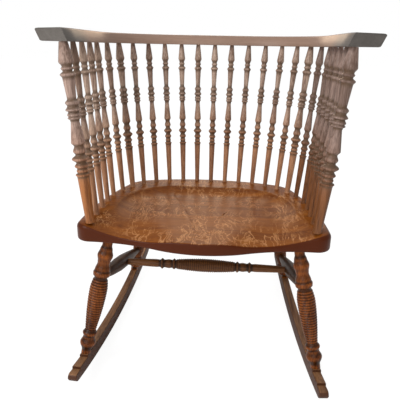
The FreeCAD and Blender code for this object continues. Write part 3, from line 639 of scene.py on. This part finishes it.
def seat_mesh():
    """The board as rings of one outline: a flat bottom, both rounded edges and the top."""
    outline = seat_outline()
    count = len(outline)
    inward = []
    for index, point in enumerate(outline):
        along = outline[(index + 1) % count] - outline[index - 1]
        inward.append(Vector((along.y, -along.x)).normalized())
    if (SEAT_MIDDLE - outline[0]).dot(inward[0]) < 0:
        inward = [-direction for direction in inward]
    points = []
    for step in range(BOTTOM_STEPS + 1):
        turn = math.pi / 2 * step / BOTTOM_STEPS
        for point, way in zip(outline, inward):
            spot = point + way * BOTTOM_ROUND * (1 - math.sin(turn))
            points.append((spot.x, spot.y, -SEAT_THICK + BOTTOM_ROUND * (1 - math.cos(turn))))
    for step in range(TOP_STEPS + 1):
        inset = TOP_ROUND * (1 - math.cos(math.pi / 2 * step / TOP_STEPS))
        for point, way in zip(outline, inward):
            spot = point + way * inset
            rim_height = -round_drop(inset, TOP_ROUND)
            lip_height = seat_height(spot.x, spot.y) - round_drop(inset, EASED_LIP)
            points.append((spot.x, spot.y, min(rim_height, lip_height)))
    rim = [point + way * TOP_ROUND for point, way in zip(outline, inward)]
    for ring in range(1, SEAT_RINGS):
        share = 1 - ring / SEAT_RINGS
        for point in rim:
            spot = SEAT_MIDDLE + (point - SEAT_MIDDLE) * share
            points.append((spot.x, spot.y, seat_height(spot.x, spot.y)))
    rows = len(points) // count
    faces = [list(range(count))]
    for row in range(rows - 1):
        for index in range(count):
            following = (index + 1) % count
            first = row * count
            faces.append([first + index, first + following,
                          first + count + following, first + count + index])
    pole = len(points)
    points.append((SEAT_MIDDLE.x, SEAT_MIDDLE.y, seat_height(SEAT_MIDDLE.x, SEAT_MIDDLE.y)))
    last = (rows - 1) * count
    for index in range(count):
        faces.append([last + index, last + (index + 1) % count, pole])
    mesh = bpy.data.meshes.new("seat_board")
    mesh.from_pydata([seat_point(*point) for point in points], [], faces)
    return mesh


def seat_oak():
    """Quarter-sawn oak under gloss varnish: curling pale ray flecks over a red-brown
    ground, thickest in patches, and a darker, plainer edge that is painted shade."""
    fleck_mm = 24.0
    sway_mm = 70.0
    patch_mm = 90.0
    sway = (0.05, 0.05, 0.0)
    fleck_turn = math.radians(38)
    fleck_stretch = 0.28
    fleck_edge = 0.034
    fleck_core = 0.004
    fleck_strength = 0.7
    material = varnished_oak("Quarter-sawn oak seat, gloss varnish", "864c16", "5a2a08",
                             (60.0, 3.0, 3.0), roughness=0.36, shine=0.12)
    tree = material.node_tree
    shader = tree.nodes["Principled BSDF"]
    ground = shader.inputs["Base Color"].links[0].from_socket
    place = add_node(tree, "ShaderNodeTexCoord").outputs["Object"]
    flow = add_node(tree, "ShaderNodeTexNoise", None,
                    {"Vector": place, "Scale": 1 / (sway_mm * MM), "Detail": 2.0})
    shifted = add_node(tree, "ShaderNodeVectorMath", {"operation": "MULTIPLY_ADD"},
                       {0: flow.outputs["Color"], 1: sway, 2: place})
    stretched = add_node(tree, "ShaderNodeMapping", None,
                         {"Vector": shifted.outputs[0], "Rotation": (0, 0, fleck_turn),
                          "Scale": (1.0, fleck_stretch, 1.0)})
    curls = add_node(tree, "ShaderNodeTexNoise", None,
                     {"Vector": stretched.outputs[0], "Scale": 1 / (fleck_mm * MM), "Detail": 4.0,
                      "Roughness": 0.62, "Distortion": 1.6})
    ridge = add_node(tree, "ShaderNodeMath", {"operation": "SUBTRACT"},
                     {0: curls.outputs["Fac"], 1: 0.5})
    ridge = add_node(tree, "ShaderNodeMath", {"operation": "ABSOLUTE"}, {0: ridge.outputs[0]})
    lines = add_node(tree, "ShaderNodeMapRange", None,
                     {"Value": ridge.outputs[0], "From Min": fleck_edge, "From Max": fleck_core,
                      "To Max": fleck_strength})
    patches = add_node(tree, "ShaderNodeTexNoise", None,
                       {"Vector": place, "Scale": 1 / (patch_mm * MM), "Detail": 1.0})
    where = add_node(tree, "ShaderNodeMapRange", None,
                     {"Value": patches.outputs["Fac"], "From Min": 0.36, "From Max": 0.56})
    amount = add_node(tree, "ShaderNodeMath", {"operation": "MULTIPLY"},
                      {0: lines.outputs[0], 1: where.outputs[0]})
    flecked = blended(tree, amount.outputs[0], ground, linear("b98556"))
    # Faces that don't look up, at the board's edge, are painted dark as shade.
    board = blended(tree, upward_share(tree, 0.8, 0.95), linear("451a02"), flecked)
    tree.links.new(board, shader.inputs["Base Color"])
    return material


seat = finished("seat_board", seat_mesh(), seat_oak())
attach(seat, "root")
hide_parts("seat")

# The sticks of the barrel back: oak spindles turned to one pattern, with a long foot, a cap
# and ball, a vase, a ringed band, a second swell and a bud. Their feet stand in the seat's
# deck and their tops in the rail, along two U rows. The posts are the same, only stouter.
RAIL_HEIGHT = 380.0
ROWS = {
    "foot": {"half": 249.0, "back": 369.0, "corner": 207.0, "front": 0.0, "height": 0.0},
    "top": {"half": 279.0, "back": 406.0, "corner": 198.0, "front": -7.0, "height": RAIL_HEIGHT},
}
BACK_SPINDLES = 5
SIDE_SPINDLES = 5
STICK_STEPS = BACK_SPINDLES + SIDE_SPINDLES + 2
CLOSE_STEPS = BACK_SPINDLES + 2
CLOSE_SHARE = 0.5385
POST_ORDER = BACK_SPINDLES + 1
BACK_POST_GIRTH = 1.18
ARM_POST_GIRTH = 1.62
STICK_FACETS = 24
STICK_OUTLINE = [
    (0.0, 6.3), (0.02, 5.9), (0.27, 7.9), (0.281, 8.2), (0.291, 9.7), (0.30, 6.8), (0.312, 7.6),
    (0.325, 6.5), (0.340, 9.2), (0.359, 6.4), (0.382, 11.4), (0.405, 6.0), (0.425, 8.4),
    (0.4525, 6.1), (0.474, 9.2), (0.585, 5.6), (0.598, 6.1), (0.607, 8.7), (0.6155, 7.4),
    (0.624, 8.7), (0.641, 6.8), (0.651, 9.9), (0.671, 6.9), (0.690, 9.0), (0.709, 5.7),
    (0.819, 7.6), (0.836, 10.0), (0.853, 6.0), (0.866, 7.8), (0.876, 6.3), (0.902, 9.4),
    (1.0, 5.3),
]


def row_point(row, share, hand):
    """A point at a share of one half of a U row, from the middle of the back."""
    size = ROWS[row]
    flat = size["half"] - size["corner"]
    bend = size["corner"] * math.pi / 2
    run = share * (flat + bend + size["back"] - size["corner"] - size["front"])
    if run <= flat:
        across = run
        back = size["back"]
    elif run <= flat + bend:
        turn = (run - flat) / size["corner"]
        across = flat + size["corner"] * math.sin(turn)
        back = size["back"] - size["corner"] * (1 - math.cos(turn))
    else:
        across = size["half"]
        back = size["back"] - size["corner"] - (run - flat - bend)
    return seat_point(hand * across, back, size["height"])


def stick_axis(order, hand):
    """The axis of a stick: even steps round the back, wider even steps along the sides."""
    share = CLOSE_SHARE * min(order / CLOSE_STEPS, 1.0)
    if order > CLOSE_STEPS:
        share += (1 - CLOSE_SHARE) * (order - CLOSE_STEPS) / (STICK_STEPS - CLOSE_STEPS)
    return row_point("foot", share, hand), row_point("top", share, hand)


def stick_outline(length):
    return rounded_turning(STICK_OUTLINE, length)


def spindle_oak(name, light, dark, foot_light, foot_dark):
    """Hazy grey-brown over the rail's half of a stick as a painted veil of light, and clear
    varnish at its foot.
    """
    haze_full_height = 0.62
    haze_gone_height = 0.46
    fade = ("Z", haze_full_height, haze_gone_height, foot_light, foot_dark)
    return varnished_oak(name, light, dark, (2.6, 2.6, 50.0), roughness=0.4, grime_and_shade="54402f",
                         fade=fade, contrast=1.5)


# The paler, greyer upper half of every stick is a painted veil of light.
stick_oak = spindle_oak("Oak spindle, painted veil of light above",
                        "ab9382", "745c4e", "a97a58", "855c42")
left_post_oak = spindle_oak("Oak arm post, painted veil of light above",
                            "a38a7e", "6c564a", "a0663a", "70401e")
# The right arm's post and side spindles take a darker copy of the stick oak: painted shade.
right_arm_painted_shade_oak = spindle_oak("Oak of the right arm, painted shade and veil of light",
                        "8a746a", "5e4a40", "784b2b", "512f17")
arm_oaks = {"left": (left_post_oak, stick_oak), "right": (right_arm_painted_shade_oak, right_arm_painted_shade_oak)}
groups = {"back_spindles": ([stick_axis(0, 1)], ["centre_spindle"], 1.0, stick_oak)}
for side, hand in HANDS.items():
    post_oak, side_oak = arm_oaks[side]
    side_orders = range(1, SIDE_SPINDLES + 1)
    for order in range(1, BACK_SPINDLES + 1):
        groups["back_spindles"][0].append(stick_axis(order, hand))
        groups["back_spindles"][1].append(f"back_spindle_{side}_{order}")
    groups[f"back_post_{side}_turning"] = (
        [stick_axis(POST_ORDER, hand)], [f"back_post_{side}"], BACK_POST_GIRTH, stick_oak)
    groups[f"side_spindles_{side}"] = (
        [stick_axis(POST_ORDER + order, hand) for order in side_orders],
        [f"side_spindle_{side}_{order}" for order in side_orders], 1.0, side_oak)
    groups[f"arm_post_{side}_turning"] = (
        [stick_axis(STICK_STEPS, hand)], [f"arm_post_{side}"], ARM_POST_GIRTH, post_oak)
for name, (axes, nodes, girth, wood) in groups.items():
    sticks = turned(name, axes, stick_outline, wood, STICK_FACETS, girth)
    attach(sticks, "root")
    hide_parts(*nodes)

# The arm rail: one bent oak board round the back and both arms. Its outer side leans out,
# its edges are eased, and the arms widen to flared ends sawn off at a slant. A flare starts
# at one place, bends by a radius and ends at another.
RAIL_THICK = 25.0
RAIL_WIDTH = 48.0
RAIL_LEAN = 11.0
RAIL_EDGE = 4.0
FLARES = {"outer": (85.0, 104.0, 12.0), "inner": (10.0, 123.0, -31.0)}
FLARE_STEPS = 12
ARM_STEPS = 9
BEND_STEPS = 24
MID_BACK_STEPS = 4


def rail_edge(which, hand, height, inset):
    """One edge of the rail at a height over its underside, from arm end to mid back."""
    top = ROWS["top"]
    shift = RAIL_LEAN * height / RAIL_THICK
    out = RAIL_WIDTH / 2 - inset
    if which == "inner":
        out = -out
    half = top["half"] + shift + out
    back = top["back"] + shift + out
    corner = top["corner"] + shift + out
    start, radius, end = FLARES[which]
    end += inset
    sweep = math.asin((start - end) / radius)
    points = []
    for step in range(FLARE_STEPS + 1):
        turn = sweep * (1 - step / FLARE_STEPS)
        points.append((half + radius * (1 - math.cos(turn)), start - radius * math.sin(turn)))
    for step in range(1, ARM_STEPS):
        points.append((half, start + (back - corner - start) * step / ARM_STEPS))
    for step in range(BEND_STEPS + 1):
        turn = math.pi / 2 * step / BEND_STEPS
        points.append((half - corner + corner * math.cos(turn),
                       back - corner + corner * math.sin(turn)))
    for step in range(1, MID_BACK_STEPS + 1):
        points.append(((half - corner) * (1 - step / MID_BACK_STEPS), back))
    return [(hand * across, depth, height) for across, depth in points]


# Heights over the rail's underside and insets of its long edges there, eased at both.
RAIL_LEVELS = [
    (0.0, RAIL_EDGE * 0.5), (RAIL_EDGE * 0.15, RAIL_EDGE * 0.15), (RAIL_EDGE * 0.5, 0.0),
    (RAIL_THICK - RAIL_EDGE, 0.0), (RAIL_THICK - RAIL_EDGE * 0.5, RAIL_EDGE * 0.14),
    (RAIL_THICK - RAIL_EDGE * 0.14, RAIL_EDGE * 0.5), (RAIL_THICK, RAIL_EDGE),
]
rail_lines = []
for which, levels in (("outer", RAIL_LEVELS), ("inner", list(reversed(RAIL_LEVELS)))):
    for height, inset in levels:
        right = rail_edge(which, 1, height, inset)
        left = rail_edge(which, -1, height, inset)
        rail_lines.append(right + list(reversed(left))[1:])
loops = []
grain = []
run = 0.0
last_centre = None
for spots in zip(*rail_lines):
    centre = sum((Vector(spot) for spot in spots), Vector()) / len(spots)
    if last_centre is not None:
        run += (centre - last_centre).length
    last_centre = centre
    loops.append([seat_point(spot[0], spot[1], RAIL_HEIGHT + spot[2]) for spot in spots])
    for index, spot in enumerate(spots):
        off = (Vector(spot) - centre).length
        outward = 1 if index < len(spots) / 2 else -1
        grain.append((run * MM, outward * off * MM, spot[2] * MM))
# Varnish gone hazy with handling: a pale grey-brown on the back, grey at the arms' ends.
rail_oak = varnished_oak("Bent oak rail, hazy old varnish", "8d7465", "735b4d",
                         (60.0, 2.4, 2.4), roughness=0.42, grain="grain", contrast=0.6,
                         fade=("Y", -0.04, -0.14, "625d58", "4c4743"))
rail = swept("arm_rail_board", loops, rail_oak, grain)
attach(rail, "root")
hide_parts("arm_rail")

# The stage: a white floor that runs into a white backdrop, with soft light from the front
# left and above and a warm, weaker window far behind, as in a bright room.
ROOM_LIGHT = 0.6
BACKDROP_LIGHT = 1.0
FLOOR_HALF = 6.0
FLOOR_GLOW = 1.07
GLOW_SHARE = 0.86
CHAIR_MIDDLE = (0.0, 0.0, 0.45)
SEAT_CENTRE = (0.0, 0.0, 0.4)
white_light = linear("ffffff")
world = bpy.data.worlds.new("Bright room")
scene.world = world
world.use_nodes = True
sky = world.node_tree
path = add_node(sky, "ShaderNodeLightPath")
seen = add_node(sky, "ShaderNodeMath", {"operation": "MAXIMUM"},
                {0: path.outputs["Is Camera Ray"], 1: path.outputs["Is Transmission Ray"]})
room = add_node(sky, "ShaderNodeBackground", None, {"Color": white_light, "Strength": ROOM_LIGHT})
backdrop = add_node(sky, "ShaderNodeBackground", None,
                    {"Color": white_light, "Strength": BACKDROP_LIGHT})
mixed = add_node(sky, "ShaderNodeMixShader", None,
                 {0: seen.outputs[0], 1: room.outputs[0], 2: backdrop.outputs[0]})
sky.links.new(mixed.outputs[0], sky.nodes["World Output"].inputs["Surface"])

floor_mesh = bpy.data.meshes.new("floor")
floor_corners = [(FLOOR_HALF * across, FLOOR_HALF * back, 0)
                 for across, back in ((-1, -1), (1, -1), (1, 1), (-1, 1))]
floor_mesh.from_pydata(floor_corners, [], [(0, 1, 2, 3)])
floor_paint = bpy.data.materials.new("Matt white floor, bright in view")
floor_paint.use_nodes = True
paper = floor_paint.node_tree
paint = paper.nodes["Principled BSDF"]
paint.inputs["Base Color"].default_value = linear("fbfbfb")
paint.inputs["Roughness"].default_value = 0.9
glow = add_node(paper, "ShaderNodeEmission", None, {"Color": white_light, "Strength": FLOOR_GLOW})
floor_path = add_node(paper, "ShaderNodeLightPath")
bright = add_node(paper, "ShaderNodeMath", {"operation": "MULTIPLY"},
                  {0: floor_path.outputs["Is Camera Ray"], 1: GLOW_SHARE})
seen_floor = add_node(paper, "ShaderNodeMixShader", None,
                      {0: bright.outputs[0], 1: paint.outputs[0], 2: glow.outputs[0]})
paper.links.new(seen_floor.outputs[0], paper.nodes["Material Output"].inputs["Surface"])
floor_mesh.materials.append(floor_paint)
floor = bpy.data.objects.new("floor", floor_mesh)
scene.collection.objects.link(floor)


def soft_lamp(name, place, target, size, power, tint="ffffff"):
    """A round lamp that looks at the target: size in metres, power in watts."""
    lamp = bpy.data.lights.new(name, "AREA")
    lamp.color = linear(tint)[:3]
    lamp.shape = "DISK"
    lamp.size = size
    lamp.energy = power
    holder = bpy.data.objects.new(name, lamp)
    holder.location = place
    holder.rotation_euler = (Vector(target) - Vector(place)).to_track_quat("-Z", "Y").to_euler()
    scene.collection.objects.link(holder)
    return holder


soft_lamp("window_left", (-1.9, -1.8, 2.3), CHAIR_MIDDLE, 1.6, 62.0)
soft_lamp("ceiling", (0.3, 0.6, 3.0), CHAIR_MIDDLE, 2.4, 22.0)
soft_lamp("room_front", (-0.4, -2.8, 1.5), CHAIR_MIDDLE, 1.8, 20.0)
far_window = soft_lamp("far_window", (-0.15, 2.1, 1.25), SEAT_CENTRE, 0.8, 8.0, "ffdcb8")
far_window.visible_camera = False

# The camera stands close in front of the chair, a little over its arms and towards the
# right one, and looks down on the seat.
CAMERA_PLACE = Vector((0.0601, -1.0898, 0.8454))
CAMERA_PAN = math.radians(4.15)
CAMERA_TILT = math.radians(23.47)
CAMERA_ROLL = 0.01324
SENSOR_MM = 36.0
LENS_MM = 41.13
camera_data = bpy.data.cameras.new("photo_view")
camera_data.sensor_width = SENSOR_MM
camera_data.lens = LENS_MM
camera = bpy.data.objects.new("photo_view", camera_data)
turn = (Matrix.Rotation(CAMERA_PAN, 4, "Z") @ Matrix.Rotation(math.pi / 2 - CAMERA_TILT, 4, "X")
        @ Matrix.Rotation(CAMERA_ROLL, 4, "Z"))
camera.matrix_world = Matrix.Translation(CAMERA_PLACE) @ turn
scene.collection.objects.link(camera)
scene.camera = camera
